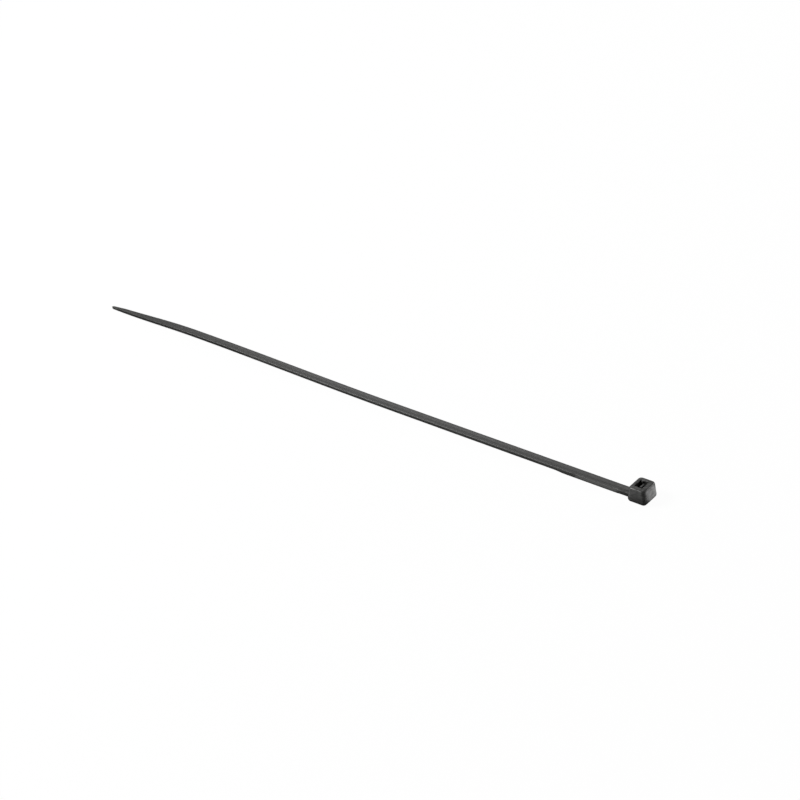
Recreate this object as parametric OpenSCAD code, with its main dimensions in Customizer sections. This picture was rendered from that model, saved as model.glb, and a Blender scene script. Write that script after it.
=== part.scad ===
// One-piece nylon cable tie, lying with its smooth face up and its teeth down.
// The strap runs towards -X from a locking head at the +X end. Millimetres, +Z up.
// The origin is on the table, midway along the tie and on its middle plane.

/* [Overall] */
// Length of the whole tie, from the head's free end to the tip
overall_length = 200; // [130:5:370]

/* [Strap] */
// Width of the strap
strap_width = 2.6; // [2.4:0.1:3.6]
// Thickness of the toothed strap
strap_thickness = 0.95; // [0.8:0.05:1.1]
// Bevel along the four long edges
edge_bevel = 0.12; // [0.06:0.01:0.16]
// Depth of the sink line along the middle of the smooth face
sink_depth = 0.04; // [0.02:0.01:0.08]

/* [Neck] */
// Length of the smooth, thicker neck beside the head
neck_length = 19; // [10:1:30]
// Thickness of the neck
neck_thickness = 1.15; // [1.1:0.05:1.4]
// Length of the bend relief between the neck and the head
relief_length = 2.8; // [2:0.1:4]
// How far the underside rises in the bend relief
relief_depth = 0.08; // [0.02:0.02:0.4]
// How far the top face rises in the bend relief
root_rise = 0.02; // [0:0.02:0.3]
// Radius of the fillet between the strap and the head
root_fillet = 0.4; // [0.2:0.05:0.6]

/* [Teeth] */
// Distance from one tooth to the next
tooth_pitch = 1.1; // [0.9:0.05:1.3]
// Depth of the gullet between two teeth
tooth_depth = 0.35; // [0.25:0.01:0.4]
// Width of the teeth, between the two side rails
tooth_width = 1.9; // [1.6:0.1:2.1]
// Flat at the top of a tooth
tooth_land = 0.15; // [0.08:0.01:0.3]
// Run of the steep locking face
tooth_rake = 0.08; // [0.02:0.01:0.15]
// How far the crests lie inside the side rails
crest_recess = 0.05; // [0.02:0.01:0.1]

/* [Tail] */
// Length over which the tail narrows, along a quarter of a sine curve
tail_length = 37; // [25:1:50]
// Width where the rounded tip starts
tip_width = 1; // [0.7:0.1:1.2]
// Length of the rounded tip
tip_length = 1.2; // [1:0.1:3]
// Thickness at the tip
tip_thickness = 0.6; // [0.4:0.05:0.8]
// Length over which the top face slopes down to the tip
tip_slope = 6; // [3:0.5:12]
// Distance between the grip grooves under the tail
grip_pitch = 1.8; // [1.4:0.1:3]
// Width of a grip groove
grip_width = 0.7; // [0.4:0.1:1]
// Depth of a grip groove
grip_depth = 0.15; // [0.1:0.01:0.25]
// Plain length left before the first groove and after the last
grip_margin = 3; // [2:0.5:6]

/* [Lie on the table] */
// Length next to the head that lies flat
flat_length = 75; // [10:1:120]
// Distance of the highest point from the tip
crest_from_tip = 40; // [30:1:75]
// Height of that point above its place on a flat strap
arch_height = 0.87; // [0.2:0.01:3]

/* [Head] */
// Length of the head along the strap
head_length = 5.2; // [5:0.1:6.5]
// Width of the head across the strap
head_width = 5.9; // [5.4:0.1:7.5]
// Height of the head
head_height = 4.2; // [3.9:0.1:5]
// Draft of the head's two end faces, in degrees
end_draft = 6; // [2:0.5:7]
// Draft of the head's two side faces, in degrees
side_draft = 3; // [1:0.5:6]
// Radius of the head's upright edges
head_corner_r = 1; // [0.95:0.05:1.2]
// Radius around the head's top face
head_top_r = 0.5; // [0.2:0.02:0.56]
// Radius around the head's base
head_base_r = 0.9; // [0.3:0.05:0.9]

/* [Slot] */
// Thickness of the end wall, which the inserted strap slides along
end_wall = 1.75; // [1.6:0.05:2]
// Room for the strap's thickness in its passage, beyond the strap itself
passage_clearance = 0.2; // [0.1:0.05:0.3]
// Room on each side of the strap in the slot
side_clearance = 0.2; // [0.15:0.05:0.35]
// Room behind the passage for the pawl to swing back into
flex_room = 0.95; // [0.9:0.05:1.15]
// Lead-in bevel around the strap's entry under the head
entry_bevel = 0.35; // [0.2:0.05:0.4]
// Bevel around the slot in the top face
exit_bevel = 0.12; // [0.05:0.01:0.2]
// Thickness of the web that closes the head behind the pawl
web_thickness = 0.8; // [0.6:0.05:1]

/* [Pawl] */
// Gap on each side of the pawl inside the toothed channel
pawl_side_gap = 0.1; // [0.05:0.01:0.2]
// Distance of the pawl's free end below the head's top face
pawl_drop = 0.3; // [0.2:0.05:0.5]
// Thickness of the pawl at its free end
pawl_tip = 0.5; // [0.4:0.05:0.6]
// Thickness of the living hinge at the pawl's foot
hinge_thickness = 0.45; // [0.35:0.05:0.6]
// Setback of the hinge from the passage
hinge_setback = 0.1; // [0.05:0.05:0.2]
// How far the resting pawl reaches past its locked place
pawl_preload = 0.1; // [0.05:0.05:0.25]
// Forward lean of the row of pawl teeth, in degrees
pawl_lean = 7; // [3:1:10]
// Width of the guide ribs on the slot's side walls
guide_width = 0.5; // [0.3:0.05:0.7]
// Height of the guide ribs out of the side walls
guide_depth = 0.3; // [0.2:0.05:0.4]
// Distance of the guide ribs from the passage
guide_setback = 0.2; // [0:0.05:0.3]

/* [Hidden] */

black_nylon = [0.1, 0.1, 0.095];
cut = 0.5;            // how far a cutter runs past the face that it opens
arc_steps = 6;        // steps in each rounded edge of the head
ring_step = 4.5;      // distance between cross sections along the plain strap
blend_steps = 4;      // cross sections in each short blend
neck_blend = 3;       // length over which the neck thins to the strap
relief_blend = 1.2;   // length over which the bend relief runs out into the neck
embed = 1;            // how far the strap's end is buried in the head
pawl_teeth = 2;

end_x = overall_length / 2;
root_x = end_x - head_length;
strap_length = overall_length - head_length;
neck_s = neck_length + neck_blend;
relief_s = relief_length + relief_blend;
tail_s = strap_length - tail_length;
slope_s = strap_length - tip_slope;
tip_s = strap_length - tip_length;
crest_s = strap_length - crest_from_tip;

// Eased step from a to b while t goes from 0 to 1
function ease(a, b, t) = a + (b - a) * (1 - cos(180 * min(1, max(0, t)))) / 2;

// Heights of the strap at the distance s from the head
crest_height = neck_thickness + arch_height;
function top_at(s) =
    s < crest_s
        ? ease(neck_thickness, crest_height, (s - flat_length) / (crest_s - flat_length))
        : ease(crest_height, strap_thickness, (s - crest_s) / crest_from_tip);
function thickness_at(s) =
    ease(neck_thickness, strap_thickness, (s - neck_length) / neck_blend);
function underside_at(s) = top_at(s) - thickness_at(s);
function relief_at(s) = ease(1, 0, (s - relief_length) / relief_blend);
function slope_at(s) = (strap_thickness - tip_thickness) * max(0, s - slope_s) / tip_slope;

// Half width of the strap: parallel strap, tail, rounded tip
function taper_at(s) =
    tip_width + (strap_width - tip_width) * sin(90 * (tip_s - s) / (tip_s - tail_s));
function tip_round_at(s) = sqrt(1 - pow((s - tip_s) / tip_length, 2));
function half_width_at(s) =
    (s < tail_s ? strap_width : s < tip_s ? taper_at(s) : tip_width * tip_round_at(s)) / 2;

// Cross section of the strap at s, with bevelled edges and the sink line
function strap_ring(s) =
    let (
        x = root_x - s,
        w = half_width_at(s),
        bevel = min(edge_bevel, w / 2),
        low = underside_at(s) + relief_depth * relief_at(s),
        top = top_at(s) + root_rise * relief_at(s) - slope_at(s),
        sink = min(sink_depth, w / 8)
    )
    [
        [x, -w + bevel, low], [x, w - bevel, low], [x, w, low + bevel],
        [x, w, top - bevel], [x, w - bevel, top], [x, 0, top - sink],
        [x, -w + bevel, top], [x, -w, top - bevel], [x, -w, low + bevel]
    ];

// Places from a up to, but not including, b
function spread(a, b, count) = [for (i = [0 : count - 1]) a + (b - a) * i / count];
function plain_spread(a, b) = spread(a, b, max(1, ceil((b - a) / ring_step)));

// The last section stops just short of the tip, where the width would be nothing
tip_end = 0.98;
strap_stations = concat(
    [-embed],
    spread(relief_length, relief_s, blend_steps),
    plain_spread(relief_s, neck_length),
    spread(neck_length, neck_s, blend_steps),
    plain_spread(neck_s, tail_s),
    plain_spread(tail_s, slope_s),
    plain_spread(slope_s, tip_s),
    [for (i = [0 : blend_steps]) tip_s + tip_length * sin(90 * i / blend_steps * tip_end)]
);

// How far a face of the head with this draft angle has drawn in at a height z
function draft_at(z, angle) = max(0, z - head_base_r) * tan(angle);

// Section of the head at a height z, drawn in further by inset at its rounded edges
function head_ring(z, inset) =
    let (
        r = head_corner_r - inset,
        x_mid = root_x + head_length / 2,
        x_half = head_length / 2 - draft_at(z, end_draft) - inset - r,
        y_half = head_width / 2 - draft_at(z, side_draft) - inset - r
    )
    [
        for (corner = [[1, -1, 0], [-1, -1, -90], [-1, 1, -180], [1, 1, -270]])
            for (i = [0 : arc_steps])
                let (a = corner[2] - 90 * i / arc_steps)
                [
                    x_mid + corner[0] * x_half + r * cos(a),
                    corner[1] * y_half + r * sin(a),
                    z
                ]
    ];

// Rectangular section used for the bevels of the slot
function slot_ring(x0, x1, y_half, z, grow) =
    [
        [x1 + grow, y_half + grow, z], [x1 + grow, -y_half - grow, z],
        [x0 - grow, -y_half - grow, z], [x0 - grow, y_half + grow, z]
    ];

// The slot: a passage along the end wall and the pawl's flex room behind it
slot_half = strap_width / 2 + side_clearance;
passage_x1 = end_x - end_wall;
passage_x0 = passage_x1 - strap_thickness - passage_clearance;
flex_x0 = passage_x0 - flex_room;

// Solid through a list of rings that all have the same number of points
module skin(rings) {
    n = len(rings[0]);
    last = len(rings) - 1;
    points = [for (ring = rings) each ring];
    sides = [
        for (i = [0 : last - 1], j = [0 : n - 1])
            let (a = i * n + j, b = i * n + (j + 1) % n)
            each [[a, b, b + n], [a, b + n, a + n]]
    ];
    first_cap = [for (j = [n - 1 : -1 : 0]) j];
    last_cap = [for (j = [0 : n - 1]) last * n + j];
    polyhedron(points, concat([first_cap], sides, [last_cap]));
}

// Outline drawn in X and Z, given thickness across the tie
module across(thickness) {
    rotate([90, 0, 0]) linear_extrude(thickness, center = true) children();
}

module head_body() {
    base = [
        for (i = [0 : arc_steps])
            let (a = 90 * i / arc_steps)
            head_ring(head_base_r * (1 - cos(a)), head_base_r * (1 - sin(a)))
    ];
    top = [
        for (i = [0 : arc_steps])
            let (a = 90 * i / arc_steps)
            head_ring(head_height - head_top_r * (1 - sin(a)), head_top_r * (1 - cos(a)))
    ];
    skin(concat(base, top));
}

module strap_body() {
    skin([for (s = strap_stations) strap_ring(s)]);
}

// Fillet between the strap's top face and the drafted face of the head
module root_fillet_bar() {
    z = neck_thickness + root_rise;
    x = root_x + draft_at(z, end_draft);
    width = strap_width - 2 * edge_bevel;
    difference() {
        translate([x - root_fillet, -width / 2, z - edge_bevel])
            cube([root_fillet + embed / 2, width, root_fillet + edge_bevel]);
        translate([x - root_fillet, 0, z + root_fillet]) rotate([90, 0, 0])
            cylinder(h = width + 2 * cut, r = root_fillet, center = true, $fn = 48);
    }
}

// Saw-tooth gullets between the side rails. The steep faces look towards the head.
tooth_count = floor((tail_s - neck_s) / tooth_pitch);
function tooth_point(s, depth) = [root_x - s, underside_at(s) + depth];
module tooth_gullets() {
    end_s = neck_s + tooth_count * tooth_pitch;
    teeth = [
        for (k = [0 : tooth_count - 1])
            let (s = neck_s + k * tooth_pitch)
            each [
                tooth_point(s, tooth_depth),
                tooth_point(s + tooth_rake, crest_recess),
                tooth_point(s + tooth_rake + tooth_land, crest_recess)
            ]
    ];
    below = [
        tooth_point(end_s, tooth_depth), [root_x - end_s, -cut], [root_x - neck_s, -cut]
    ];
    across(tooth_width) polygon(concat(teeth, below));
}

// Cross grooves under the tail, between side rails as wide as those beside the teeth
module grip_grooves() {
    rail = (strap_width - tooth_width) / 2;
    room = tail_length - tip_length - 2 * grip_margin;
    count = floor(room / grip_pitch);
    for (i = [0 : count - 1]) {
        s = tail_s + grip_margin + i * grip_pitch;
        y_half = half_width_at(s + grip_width) - rail;
        translate([root_x - s - grip_width, -y_half, underside_at(s) - cut])
            cube([grip_width, 2 * y_half, cut + grip_depth]);
    }
}

module slot_opening() {
    translate([passage_x0, -slot_half, -cut])
        cube([passage_x1 - passage_x0, 2 * slot_half, head_height + 2 * cut]);
    translate([flex_x0, -slot_half, web_thickness])
        cube([passage_x1 - flex_x0, 2 * slot_half, head_height]);
    skin([
        slot_ring(passage_x0, passage_x1, slot_half, -cut, entry_bevel + cut),
        slot_ring(passage_x0, passage_x1, slot_half, entry_bevel, 0)
    ]);
    skin([
        slot_ring(flex_x0, passage_x1, slot_half, head_height - exit_bevel, 0),
        slot_ring(flex_x0, passage_x1, slot_half, head_height + cut, exit_bevel + cut)
    ]);
}

// Ribs that hold the strap's side rails against the end wall
module guide_ribs() {
    for (side = [-1, 1])
        translate([
            passage_x0 - guide_setback - guide_width,
            side * (slot_half + (cut - guide_depth) / 2) - (cut + guide_depth) / 2,
            web_thickness - cut
        ])
            cube([
                guide_width, cut + guide_depth,
                head_height - exit_bevel - web_thickness + cut
            ]);
}

// Pawl on a living hinge. Its teeth point at the end wall and lock on their upper faces,
// the highest of which is the pawl's own top.
pawl_width = tooth_width - 2 * pawl_side_gap;
module pawl() {
    pawl_top = head_height - pawl_drop;
    reach = passage_x1 - strap_thickness + tooth_depth + pawl_preload;
    step = tooth_depth - crest_recess;
    hinge_x1 = passage_x0 - hinge_setback;
    hinge_x0 = hinge_x1 - hinge_thickness;
    foot_z = web_thickness - cut;
    function tip_x(z) = reach - (pawl_top - z) * tan(pawl_lean);
    teeth = [
        for (k = [pawl_teeth - 1 : -1 : 0])
            let (z = pawl_top - k * tooth_pitch, foot = z - tooth_pitch + tooth_rake)
            each [[tip_x(foot) - step, foot], [tip_x(z), z]]
    ];
    back = [[reach - pawl_tip, pawl_top], [hinge_x0, web_thickness], [hinge_x0, foot_z]];
    front = [[hinge_x1, foot_z], [hinge_x1, web_thickness + hinge_setback]];
    across(pawl_width) polygon(concat(teeth, back, front));
}

module cable_tie() {
    color(black_nylon) {
        difference() {
            union() {
                head_body();
                strap_body();
                root_fillet_bar();
            }
            slot_opening();
            tooth_gullets();
            grip_grooves();
        }
        guide_ribs();
        pawl();
    }
}

cable_tie();
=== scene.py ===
"""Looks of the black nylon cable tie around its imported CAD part.

Lengths are in mm in the part's frame, and MM turns them into metres. s is the distance from the
head along the strap.
"""
import math

import bmesh
import bpy
from mathutils import Matrix, Vector


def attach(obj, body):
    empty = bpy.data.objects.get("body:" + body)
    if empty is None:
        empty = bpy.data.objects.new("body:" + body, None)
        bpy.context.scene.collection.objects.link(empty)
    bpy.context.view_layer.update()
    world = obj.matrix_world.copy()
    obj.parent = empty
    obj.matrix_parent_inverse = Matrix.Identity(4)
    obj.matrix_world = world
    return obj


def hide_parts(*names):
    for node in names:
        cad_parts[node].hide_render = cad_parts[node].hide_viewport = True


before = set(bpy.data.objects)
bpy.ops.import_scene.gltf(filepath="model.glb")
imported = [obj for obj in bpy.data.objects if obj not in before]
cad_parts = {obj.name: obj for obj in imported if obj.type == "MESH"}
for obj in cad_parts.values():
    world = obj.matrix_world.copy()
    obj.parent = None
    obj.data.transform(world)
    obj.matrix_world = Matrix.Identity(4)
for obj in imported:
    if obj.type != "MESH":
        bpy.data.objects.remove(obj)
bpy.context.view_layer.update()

MM = 0.001

# Strap, as in the part's source
END_X = 100.0
HEAD_LENGTH = 5.2
STRAP_WIDTH = 2.6
STRAP_THICKNESS = 0.95
EDGE_R = 0.12
SINK_DEPTH = 0.04
SINK_WIDTH = 0.5
NECK_LENGTH = 19.0
NECK_BLEND = 3.0
NECK_THICKNESS = 1.15
RELIEF_LENGTH = 2.8
RELIEF_BLEND = 1.2
RELIEF_DEPTH = 0.08
ROOT_RISE = 0.02
ROOT_FILLET = 0.4
EMBED = 1.0
TOOTH_PITCH = 1.1
TOOTH_DEPTH = 0.35
TOOTH_WIDTH = 1.9
TOOTH_LAND = 0.15
TOOTH_RAKE = 0.08
CREST_RECESS = 0.05
TAIL_LENGTH = 37.0
TIP_WIDTH = 1.0
TIP_LENGTH = 1.2
TIP_THICKNESS = 0.6
TIP_SLOPE = 6.0
GRIP_PITCH = 1.8
GRIP_WIDTH = 0.7
GRIP_DEPTH = 0.15
GRIP_MARGIN = 3.0
FLAT_LENGTH = 75.0
CREST_FROM_TIP = 40.0
ARCH_HEIGHT = 0.87

ROOT_X = END_X - HEAD_LENGTH
STRAP_LENGTH = 2 * END_X - HEAD_LENGTH
RAIL = (STRAP_WIDTH - TOOTH_WIDTH) / 2
RELIEF_S = RELIEF_LENGTH + RELIEF_BLEND
NECK_S = NECK_LENGTH + NECK_BLEND
TAIL_S = STRAP_LENGTH - TAIL_LENGTH
TIP_S = STRAP_LENGTH - TIP_LENGTH
SLOPE_S = STRAP_LENGTH - TIP_SLOPE
CREST_S = STRAP_LENGTH - CREST_FROM_TIP

# Head, slot and pawl, as in the part's source
HEAD_WIDTH = 5.9
HEAD_HEIGHT = 4.2
END_DRAFT = math.tan(math.radians(6))
SIDE_DRAFT = math.tan(math.radians(3))
CORNER_R = 1.0
TOP_R = 0.5
BASE_R = 0.9
END_WALL = 1.75
PASSAGE_CLEARANCE = 0.2
SIDE_CLEARANCE = 0.2
FLEX_ROOM = 0.95
ENTRY_BEVEL = 0.35
EXIT_BEVEL = 0.12
WEB = 0.8
PAWL_TEETH = 2
PAWL_SIDE_GAP = 0.1
PAWL_DROP = 0.3
PAWL_TIP = 0.5
PAWL_PRELOAD = 0.1
PAWL_LEAN = math.tan(math.radians(7))
HINGE_THICKNESS = 0.45
HINGE_SETBACK = 0.1
GUIDE_WIDTH = 0.5
GUIDE_DEPTH = 0.3
GUIDE_SETBACK = 0.2

PASSAGE_X1 = END_X - END_WALL
PASSAGE_X0 = PASSAGE_X1 - STRAP_THICKNESS - PASSAGE_CLEARANCE
FLEX_X0 = PASSAGE_X0 - FLEX_ROOM
SLOT_HALF = STRAP_WIDTH / 2 + SIDE_CLEARANCE
PAWL_HALF = TOOTH_WIDTH / 2 - PAWL_SIDE_GAP
PAWL_TOP = HEAD_HEIGHT - PAWL_DROP
PAWL_REACH = PASSAGE_X1 - STRAP_THICKNESS + TOOTH_DEPTH + PAWL_PRELOAD
HINGE_X1 = PASSAGE_X0 - HINGE_SETBACK
HINGE_X0 = HINGE_X1 - HINGE_THICKNESS
GUIDE_X1 = PASSAGE_X0 - GUIDE_SETBACK
GUIDE_X0 = GUIDE_X1 - GUIDE_WIDTH

# Small roundings, and how far the parts of a union or cut run into each other
SLOT_R = 0.14
PAWL_BEVEL = 0.05
GUIDE_BEVEL = 0.06
CUT = 0.3
PASSAGE_TOP = HEAD_HEIGHT - 1.0
HINGE_ROOT = 0.5
HINGE_RISE = 0.1
GUIDE_ROOT = 0.3
FILLET_ROOT = 0.5
FILLET_SINK = 0.1

# At the rounded tip, the largest edge radius and the least half of the channel between the
# rails, as shares of what is there of the half width
EDGE_SHARE = 0.6
CHANNEL_SHARE = 0.3

# Fineness of the curves, with the distance below which two points are one
MERGE = 1e-4
UNDER_STEPS = 3
UPPER_STEPS = 4
TOP_STEPS = 14
TIP_STEPS = 10
TIP_ARC = 88.2
HEAD_STEPS = 8
MOUTH_STEPS = 4
FILLET_STEPS = 8
BEVEL_STEPS = 3
BEVEL_ANGLE = 35
SHARP_ANGLE = 34


def ease(a, b, t):
    """Eased step from a to b while t goes from 0 to 1."""
    return a + (b - a) * (1 - math.cos(math.pi * min(1.0, max(0.0, t)))) / 2


def top_at(s):
    crest = NECK_THICKNESS + ARCH_HEIGHT
    if s < CREST_S:
        return ease(NECK_THICKNESS, crest, (s - FLAT_LENGTH) / (CREST_S - FLAT_LENGTH))
    return ease(crest, STRAP_THICKNESS, (s - CREST_S) / CREST_FROM_TIP)


def underside_at(s):
    return top_at(s) - ease(NECK_THICKNESS, STRAP_THICKNESS, (s - NECK_LENGTH) / NECK_BLEND)


def half_width_at(s):
    if s < TAIL_S:
        return STRAP_WIDTH / 2
    if s < TIP_S:
        t = (TIP_S - s) / (TIP_S - TAIL_S)
        return (TIP_WIDTH + (STRAP_WIDTH - TIP_WIDTH) * math.sin(math.pi / 2 * t)) / 2
    return TIP_WIDTH / 2 * math.sqrt(max(0.0, 1 - ((s - TIP_S) / TIP_LENGTH) ** 2))


def arc(u, v, r, a0, a1, steps):
    """Points on an arc of radius r around (u, v), angles in degrees."""
    pts = []
    for i in range(steps + 1):
        a = math.radians(a0 + (a1 - a0) * i / steps)
        pts.append((u + r * math.cos(a), v + r * math.sin(a)))
    return pts


def quarter_turn(steps):
    """Angles from nothing to a right angle, in radians."""
    return [math.radians(90 * i / steps) for i in range(steps + 1)]


def rounded_ring(x0, x1, half, r, z, steps):
    """Rectangle from x0 to x1 and from -half to half at height z, with corners of radius r."""
    corners = ((x1 - r, half - r, 0), (x0 + r, half - r, 90),
               (x0 + r, r - half, 180), (x1 - r, r - half, 270))
    return [(x, y, z) for cx, cy, a0 in corners for x, y in arc(cx, cy, r, a0, a0 + 90, steps)]


def add_object(name, data):
    """New object in the scene around a mesh, lamp or camera."""
    ob = bpy.data.objects.new(name, data)
    bpy.context.scene.collection.objects.link(ob)
    return ob


def skin(name, rings):
    """Closed solid through rings that all have the same number of points."""
    bm = bmesh.new()
    loops = [[bm.verts.new(p) for p in ring] for ring in rings]
    n = len(loops[0])
    for a, b in zip(loops, loops[1:]):
        for j in range(n):
            bm.faces.new((a[j], a[(j + 1) % n], b[(j + 1) % n], b[j]))
    bm.faces.new(loops[0][::-1])
    bm.faces.new(loops[-1])
    bmesh.ops.remove_doubles(bm, verts=bm.verts, dist=MERGE)
    bmesh.ops.recalc_face_normals(bm, faces=bm.faces)
    bmesh.ops.scale(bm, vec=(MM, MM, MM), verts=bm.verts)
    me = bpy.data.meshes.new(name)
    bm.to_mesh(me)
    bm.free()
    return add_object(name, me)


def prism(name, outline, half):
    """Outline in X and Z, given thickness across the tie."""
    return skin(name, [[(x, y, z) for x, z in outline] for y in (-half, half)])


def bake(ob):
    """Applies the object's modifiers."""
    dg = bpy.context.evaluated_depsgraph_get()
    me = bpy.data.meshes.new_from_object(ob.evaluated_get(dg))
    ob.modifiers.clear()
    ob.data = me


def bevel(ob, width):
    """Rounds the object's sharp edges."""
    m = ob.modifiers.new("bevel", "BEVEL")
    m.width, m.segments, m.limit_method = width * MM, BEVEL_STEPS, "ANGLE"
    m.angle_limit = math.radians(BEVEL_ANGLE)
    bake(ob)
    return ob


def combine(ob, other, how):
    """Adds the other object to this one, or cuts it out."""
    m = ob.modifiers.new("join", "BOOLEAN")
    m.operation, m.object, m.solver = how, other, "EXACT"
    bpy.context.view_layer.update()
    bake(ob)
    bpy.data.objects.remove(other)


# Strap: one skin from inside the head to the tip, teeth and grip grooves included
def strap_ring(s, channel):
    """Section at s. channel is the depth cut between the side rails of the underside."""
    w = half_width_at(s)
    r = min(EDGE_R, EDGE_SHARE * w)
    c = max(w - RAIL, CHANNEL_SHARE * (w - r))
    relief = ease(1, 0, (s - RELIEF_LENGTH) / RELIEF_BLEND)
    low = underside_at(s) + RELIEF_DEPTH * relief
    slope = (STRAP_THICKNESS - TIP_THICKNESS) * max(0.0, s - SLOPE_S) / TIP_SLOPE
    top = top_at(s) + ROOT_RISE * relief - slope
    sink = SINK_DEPTH * min(1.0, w / (STRAP_WIDTH / 2)) ** 2
    ring = arc(w - r, low + r, r, -90, 0, UNDER_STEPS)
    ring += arc(w - r, top - r, r, 0, 90, UPPER_STEPS)
    for i in range(1, TOP_STEPS):
        y = (w - r) * (1 - 2 * i / TOP_STEPS)
        ring.append((y, top - sink * math.exp(-((y / SINK_WIDTH) ** 2))))
    ring += arc(-w + r, top - r, r, 90, 180, UPPER_STEPS)
    ring += arc(-w + r, low + r, r, 180, 270, UNDER_STEPS)
    ring += [(-c, low), (-c, low + channel), (c, low + channel), (c, low)]
    return [(ROOT_X - s, y, z) for y, z in ring]


def spread(a, b, step):
    """Values from a up to b, without b, that lie at most a step apart."""
    n = max(1, math.ceil((b - a) / step))
    return [a + (b - a) * i / n for i in range(n)]


def strap_sections():
    """Where the strap's sections are, and the depth of the channel at each."""
    sections = [(-EMBED, 0)]
    for a, b, step in ((0.0, RELIEF_LENGTH, 0.7), (RELIEF_LENGTH, RELIEF_S, 0.15),
                       (RELIEF_S, NECK_LENGTH, 2.5), (NECK_LENGTH, NECK_S, 0.4)):
        sections += [(s, 0) for s in spread(a, b, step)]
    sections.append((NECK_S, 0))
    teeth = int((TAIL_S - NECK_S) / TOOTH_PITCH)
    for k in range(teeth):
        s = NECK_S + k * TOOTH_PITCH
        sections.append((s, TOOTH_DEPTH))
        sections.append((s + TOOTH_RAKE, CREST_RECESS))
        sections.append((s + TOOTH_RAKE + TOOTH_LAND, CREST_RECESS))
    last = NECK_S + teeth * TOOTH_PITCH
    sections += [(last, TOOTH_DEPTH), (last, 0)]
    for i in range(int((TAIL_LENGTH - TIP_LENGTH - 2 * GRIP_MARGIN) / GRIP_PITCH)):
        s = TAIL_S + GRIP_MARGIN + i * GRIP_PITCH
        sections += [(x, 0) for x in spread(last, s, 2.0)[1:]]
        last = s + GRIP_WIDTH
        sections += [(s, 0), (s, GRIP_DEPTH), (last, GRIP_DEPTH), (last, 0)]
    sections += [(s, 0) for s in spread(last, TIP_S, 1.0)[1:]]
    for i in range(TIP_STEPS + 1):
        a = math.radians(TIP_ARC * i / TIP_STEPS)
        sections.append((TIP_S + TIP_LENGTH * math.sin(a), 0))
    return sections


strap = skin("strap", [strap_ring(s, channel) for s, channel in strap_sections()])


# Head: drafted block with rounded edges
def head_ring(z, inset):
    """Section of the head at height z, drawn in on all sides by the rounding of its edges."""
    gx = max(0.0, z - BASE_R) * END_DRAFT + inset
    gy = max(0.0, z - BASE_R) * SIDE_DRAFT + inset
    half = HEAD_WIDTH / 2 - gy
    return rounded_ring(ROOT_X + gx, END_X - gx, half, CORNER_R - inset, z, HEAD_STEPS)


rings = []
for a in quarter_turn(HEAD_STEPS):
    rings.append(head_ring(BASE_R * (1 - math.cos(a)), BASE_R * (1 - math.sin(a))))
for a in quarter_turn(HEAD_STEPS):
    z = HEAD_HEIGHT - TOP_R * (1 - math.sin(a))
    rings.append(head_ring(z, TOP_R * (1 - math.cos(a))))
body = skin("cable_tie_moulding", rings)


# Slot: the strap's passage from below, and the flex room behind the pawl from above
def slot_ring(x0, z, grow):
    """Section of the slot from x0 to the end wall, wider by grow on all sides."""
    half = SLOT_HALF + grow
    return rounded_ring(x0 - grow, PASSAGE_X1 + grow, half, SLOT_R + grow, z, MOUTH_STEPS)


def cut_slot(x0, z_inside, z_face, flare, up):
    """Cuts from z_inside through the face at z_face, above it if up is 1 and below if -1.

    The mouth flares into the face, rounded over like a worn mould edge.
    """
    cutter = [slot_ring(x0, z_inside, 0)]
    for a in quarter_turn(MOUTH_STEPS):
        z = z_face - up * flare * (1 - math.sin(a))
        cutter.append(slot_ring(x0, z, flare * (1 - math.cos(a))))
    cutter.append(slot_ring(x0, z_face + up * CUT, flare))
    combine(body, skin("cutter", cutter), "DIFFERENCE")


cut_slot(PASSAGE_X0, PASSAGE_TOP, 0.0, ENTRY_BEVEL, -1)
cut_slot(FLEX_X0, WEB, HEAD_HEIGHT, EXIT_BEVEL, 1)


# Pawl with its locking teeth on the living hinge, and the two guide ribs
def crest_x(z):
    """Where the leaning row of pawl teeth has its crests at height z."""
    return PAWL_REACH - (PAWL_TOP - z) * PAWL_LEAN


pawl = []
for k in reversed(range(PAWL_TEETH)):
    z = PAWL_TOP - k * TOOTH_PITCH
    foot = z - TOOTH_PITCH + TOOTH_RAKE
    pawl += [(crest_x(foot) - (TOOTH_DEPTH - CREST_RECESS), foot), (crest_x(z), z)]
pawl += [(PAWL_REACH - PAWL_TIP, PAWL_TOP), (HINGE_X0, WEB), (HINGE_X0, WEB - HINGE_ROOT)]
pawl += [(HINGE_X1, WEB - HINGE_ROOT), (HINGE_X1, WEB + HINGE_RISE)]
combine(body, bevel(prism("pawl", pawl, PAWL_HALF), PAWL_BEVEL), "UNION")
for side in (-1, 1):
    y0, y1 = sorted((side * (SLOT_HALF - GUIDE_DEPTH), side * (SLOT_HALF + GUIDE_ROOT)))
    rib = skin("rib", [
        [(GUIDE_X0, y0, z), (GUIDE_X1, y0, z), (GUIDE_X1, y1, z), (GUIDE_X0, y1, z)]
        for z in (WEB - GUIDE_ROOT, HEAD_HEIGHT - EXIT_BEVEL)
    ])
    combine(body, bevel(rib, GUIDE_BEVEL), "UNION")

# Fillet between the bend relief and the head
z0 = NECK_THICKNESS + ROOT_RISE
x0 = ROOT_X + (z0 - BASE_R) * END_DRAFT
fillet = [(x0 + FILLET_ROOT, z0 - FILLET_SINK), (x0 + FILLET_ROOT, z0 + ROOT_FILLET)]
fillet += arc(x0 - ROOT_FILLET, z0 + ROOT_FILLET, ROOT_FILLET, 0, -90, FILLET_STEPS)
fillet.append((x0 - ROOT_FILLET, z0 - FILLET_SINK))
combine(strap, prism("fillet", fillet, STRAP_WIDTH / 2 - EDGE_R), "UNION")
combine(body, strap, "UNION")

body.data.shade_smooth()
body.data.set_sharp_from_angle(angle=math.radians(SHARP_ANGLE))
weighted = body.modifiers.new("weighted", "WEIGHTED_NORMAL")
weighted.keep_sharp = True
weighted.weight = 80
bake(body)


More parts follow.
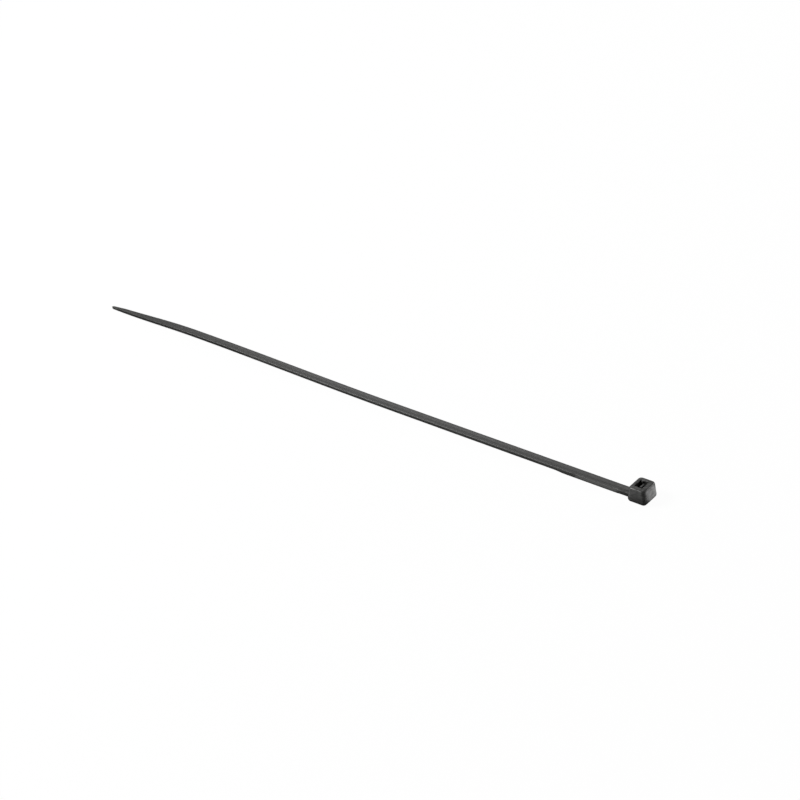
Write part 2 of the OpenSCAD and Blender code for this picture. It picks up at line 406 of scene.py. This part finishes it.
# Shader nodes, made in the tree that nt names: the nylon's first, and later the floor's
def new_material(name):
    material = bpy.data.materials.new(name)
    material.use_nodes = True
    return material


def node(kind, **values):
    """Node with the given inputs and settings."""
    n = nt.nodes.new(kind)
    for k, v in values.items():
        if k in n.inputs:
            n.inputs[k].default_value = v
        else:
            setattr(n, k, v)
    return n


def link(a, b):
    nt.links.new(a, b)


def math_node(operation, *values):
    """Math node whose inputs are sockets or plain numbers."""
    n = node("ShaderNodeMath", operation=operation)
    for socket, value in zip(n.inputs, values):
        if isinstance(value, (int, float)):
            socket.default_value = value
        else:
            link(value, socket)
    return n.outputs[0]


def map_range(value, from_min, from_max, to_min, to_max):
    """Value taken from one range to the other and held within its ends."""
    limits = {"From Min": from_min, "From Max": from_max, "To Min": to_min, "To Max": to_max}
    n = node("ShaderNodeMapRange", **limits)
    link(value, n.inputs["Value"])
    return n.outputs["Result"]


def noise(scale, detail, rough, stretch=(1, 1, 1)):
    place = node("ShaderNodeMapping", Scale=stretch)
    link(coords.outputs["Object"], place.inputs["Vector"])
    n = node("ShaderNodeTexNoise", Scale=scale, Detail=detail, Roughness=rough)
    link(place.outputs["Vector"], n.inputs["Vector"])
    return n.outputs["Fac"]


def ramp(fac, *stops):
    """Colour ramp between two stops, each of them a position and a colour."""
    r = node("ShaderNodeValToRGB")
    link(fac, r.inputs["Fac"])
    for element, (position, colour) in zip(r.color_ramp.elements, stops):
        element.position = position
        element.color = (*colour, 1)
    return r.outputs["Color"]


def bump(height, strength, distance):
    """Bump node for heights of the given distance in metres."""
    n = node("ShaderNodeBump", Strength=strength, Distance=distance)
    link(height, n.inputs["Height"])
    return n


# Nylon: satin black with flow marks, faint mottling and a fine as-moulded grain
MOTTLE_SHARE = 0.5
SHEEN = 0.5
SHEEN_SWING = 0.35
STRAP_SWING = 0.12
SWING_BLEND = 6.0
ROUGHNESS = 0.37, 0.47

nylon = new_material("black_nylon")
nt = nylon.node_tree
shader = nt.nodes["Principled BSDF"]
shader.inputs["IOR"].default_value = 1.5
coords = node("ShaderNodeTexCoord")

flow = noise(160, 4, 0.55, (0.2, 4.5, 4.5))
streak = noise(160, 1, 0.5, (0.12, 5, 5))
mottle = noise(420, 3, 0.6)
grain = noise(5200, 2, 0.6)
cloud = noise(1100, 2, 0.6, (0.7, 0.7, 1.5))

# The mix node's colour sockets are inputs 6 and 7 and output 2
mix = node("ShaderNodeMix", data_type="RGBA")
mix.inputs[0].default_value = MOTTLE_SHARE
link(ramp(flow, (0.3, (0.018, 0.018, 0.017)), (0.7, (0.026, 0.026, 0.0245))), mix.inputs[6])
link(ramp(mottle, (0.3, (0.019, 0.019, 0.018)), (0.75, (0.025, 0.0245, 0.023))), mix.inputs[7])
link(mix.outputs[2], shader.inputs["Base Color"])

# The sheen of the head is cloudier than that of the strap
axes = node("ShaderNodeSeparateXYZ")
link(coords.outputs["Object"], axes.inputs["Vector"])
on_head = map_range(axes.outputs["X"], (ROOT_X - SWING_BLEND) * MM, ROOT_X * MM, STRAP_SWING, 1)
swing = map_range(cloud, 0.3, 0.7, -SHEEN_SWING, SHEEN_SWING)
link(math_node("MULTIPLY_ADD", swing, on_head, SHEEN), shader.inputs["Specular IOR Level"])
link(map_range(mottle, 0, 1, *ROUGHNESS), shader.inputs["Roughness"])

wave = bump(streak, 0.2, 0.00004)
fine = bump(grain, 0.08, 0.00002)
link(wave.outputs["Normal"], fine.inputs["Normal"])
link(fine.outputs["Normal"], shader.inputs["Normal"])

body.data.materials.clear()
body.data.materials.append(nylon)
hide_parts("cable_tie")
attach(body, "root")

# Camera, at the photograph's angle
AZIMUTH, ELEVATION, ROLL = 43.30, 30.75, -6.24
CAMERA_AT = Vector((244.105, -235.801, 196.536)) * MM
SENSOR_WIDTH = 36
LENS = 63


def rotation(az, el, roll):
    """The camera's right, up and back directions."""
    ca, sa, ce, se = math.cos(az), math.sin(az), math.cos(el), math.sin(el)
    right, back = Vector((ca, sa, 0)), Vector((sa * ce, -ca * ce, se))
    up = back.cross(right)
    cr, sr = math.cos(roll), math.sin(roll)
    return right * cr + up * sr, -right * sr + up * cr, back


camera = add_object("camera", bpy.data.cameras.new("camera"))
camera.data.sensor_width = SENSOR_WIDTH
camera.data.lens = LENS
camera.data.clip_start, camera.data.clip_end = 0.01, 20
turn = Matrix(rotation(*map(math.radians, (AZIMUTH, ELEVATION, ROLL)))).transposed().to_4x4()
camera.matrix_world = Matrix.Translation(CAMERA_AT) @ turn
bpy.context.scene.camera = camera

# Floor and the low wall around it, in metres: white to the camera and in reflections, with a soft
# share of the real shadow. In reflections its glow is darkened close to the part by ambient
# occlusion: painted shade, standing in for the light that the part hides from it.
FLOOR_HALF = 3.0
WALL_HEIGHT = 0.6
FLOOR_Z = -0.00002
SHADE_REACH = 0.015
SHADE_POWER = 12
WHITE_SHARE = 0.965
PAPER = (0.9, 0.9, 0.9, 1)

bm = bmesh.new()
bmesh.ops.create_grid(bm, x_segments=1, y_segments=1, size=FLOOR_HALF)
wall = bmesh.ops.extrude_edge_only(bm, edges=bm.edges[:])["geom"]
wall_top = [v for v in wall if isinstance(v, bmesh.types.BMVert)]
bmesh.ops.translate(bm, vec=(0, 0, WALL_HEIGHT), verts=wall_top)
me = bpy.data.meshes.new("floor")
bm.to_mesh(me)
bm.free()
floor = add_object("floor", me)
floor.location.z = FLOOR_Z

paper = new_material("white_paper")
nt = paper.node_tree
nt.nodes.clear()
path = node("ShaderNodeLightPath")
near = node("ShaderNodeAmbientOcclusion", samples=8, Distance=SHADE_REACH)
mirror = math_node("MAXIMUM", path.outputs["Is Glossy Ray"], path.outputs["Is Transmission Ray"])
seen = math_node("MULTIPLY", path.outputs["Is Camera Ray"], WHITE_SHARE)
# painted shade: in reflections the floor's glow is scaled by this occlusion share, darker close
# to the part
open_share = math_node("POWER", near.outputs["AO"], SHADE_POWER)
painted_shade_drop = math_node("MULTIPLY", mirror, math_node("SUBTRACT", 1.0, open_share))
glow = node("ShaderNodeEmission")
glow.inputs["Color"].default_value = (1, 1, 1, 1)
link(math_node("SUBTRACT", 1.0, painted_shade_drop), glow.inputs["Strength"])
diffuse = node("ShaderNodeBsdfDiffuse")
diffuse.inputs["Color"].default_value = PAPER
blend = node("ShaderNodeMixShader")
link(math_node("MAXIMUM", seen, mirror), blend.inputs["Fac"])
link(diffuse.outputs[0], blend.inputs[1])
link(glow.outputs[0], blend.inputs[2])
link(blend.outputs[0], node("ShaderNodeOutputMaterial").inputs["Surface"])
me.materials.append(paper)

# Light: a dim white room, a soft fill in front, three weaker boxes behind, and white cards on the
# table that light the head's end face and the neck's side from below. Painted shade: black
# sheets, seen only in the part's reflections, keep the head's corner and the tail's side dark
ROOM_LEVEL = 0.1
BOX_AWAY = 1.0
CARD_Z = 0.2
# Height and colour of the black sheets that paint shade into the part's reflections
PAINTED_SHADE_SHEET_Z = 0.1
PAINTED_SHADE_COLOUR = (0.005, 0.005, 0.005, 1)

world = bpy.data.worlds.new("room")
bpy.context.scene.world = world
world.use_nodes = True
sky = world.node_tree.nodes["Background"]
sky.inputs["Color"].default_value = (1, 1, 1, 1)
sky.inputs["Strength"].default_value = ROOM_LEVEL


def area_lamp(name, width, height, energy):
    lamp = bpy.data.lights.new(name, "AREA")
    lamp.shape = "RECTANGLE"
    lamp.size, lamp.size_y = width, height
    lamp.energy = energy
    return add_object(name, lamp)


def soft_box(name, azimuth, elevation, width, height, level):
    """Lamp at BOX_AWAY metres from the origin, turned to it, with its size in metres.

    A level of 1 shows a surface facing it in its own colour.
    """
    az, el = math.radians(azimuth), math.radians(elevation)
    away = Vector((math.cos(az) * math.cos(el), math.sin(az) * math.cos(el), math.sin(el)))
    ob = area_lamp(name, width, height, level * math.pi ** 2 * BOX_AWAY ** 2)
    ob.location = away * BOX_AWAY
    ob.rotation_mode = "QUATERNION"
    ob.rotation_quaternion = away.to_track_quat("Z", "Y")


def card(name, x0, x1, y0, y1, share):
    """White card lying face up on the table. share is its brightness against plain white."""
    width, depth = (x1 - x0) * MM, (y1 - y0) * MM
    ob = area_lamp(name, width, depth, share * math.pi * width * depth)
    ob.location = Vector(((x0 + x1) / 2, (y0 + y1) / 2, CARD_Z)) * MM
    ob.rotation_euler = (math.pi, 0, 0)
    ob.visible_camera = False


def painted_shade_sheet(name, x0, x1, y0, y1):
    """Painted shade: black sheet lying on the table that only the part's reflections show,
    darkening them.
    """
    me = bpy.data.meshes.new(name)
    corners = ((x0, y0), (x1, y0), (x1, y1), (x0, y1))
    me.from_pydata([(x * MM, y * MM, PAINTED_SHADE_SHEET_Z * MM) for x, y in corners], [], [(0, 1, 2, 3)])
    me.materials.append(painted_shade_material)
    ob = add_object(name, me)
    ob.visible_camera = ob.visible_diffuse = ob.visible_shadow = False


soft_box("side", 60, 20, 0.4, 0.2, 0.4)
soft_box("fill", 218, 40, 0.3, 0.3, 1.15)
soft_box("back", 140, 45, 0.3, 0.3, 0.15)
soft_box("rim", 118, 44, 0.3, 0.3, 0.055)

card("end_card", END_X + 0.2, END_X + 45, 2.4, 62, 1.85)
card("neck_card", ROOT_X - 24, ROOT_X - 2, -16, -2.9, 0.68)
card("neck_foot_card", ROOT_X - 16, ROOT_X - 4, -2.9, -1.4, 0.9)
card("end_foot_card", END_X + 0.2, END_X + 2.2, 0.0, 2.4, 1.8)

# painted shade: black material for the sheets that only the part's reflections show
painted_shade_material = new_material("painted_shade_black")
painted_shade_material_inputs = painted_shade_material.node_tree.nodes["Principled BSDF"].inputs
painted_shade_material_inputs["Base Color"].default_value = PAINTED_SHADE_COLOUR
painted_shade_material_inputs["Specular IOR Level"].default_value = 0
# painted shade: these sheets darken only the reflections of the head's corner and the tail's side
painted_shade_sheet("corner_painted_shade_sheet", END_X - 0.5, END_X + 9, -12, -3)
painted_shade_sheet("tail_painted_shade_sheet", -END_X - 6, -END_X + 60, -12, -1.4)

bpy.context.scene.view_settings.view_transform = "Standard"
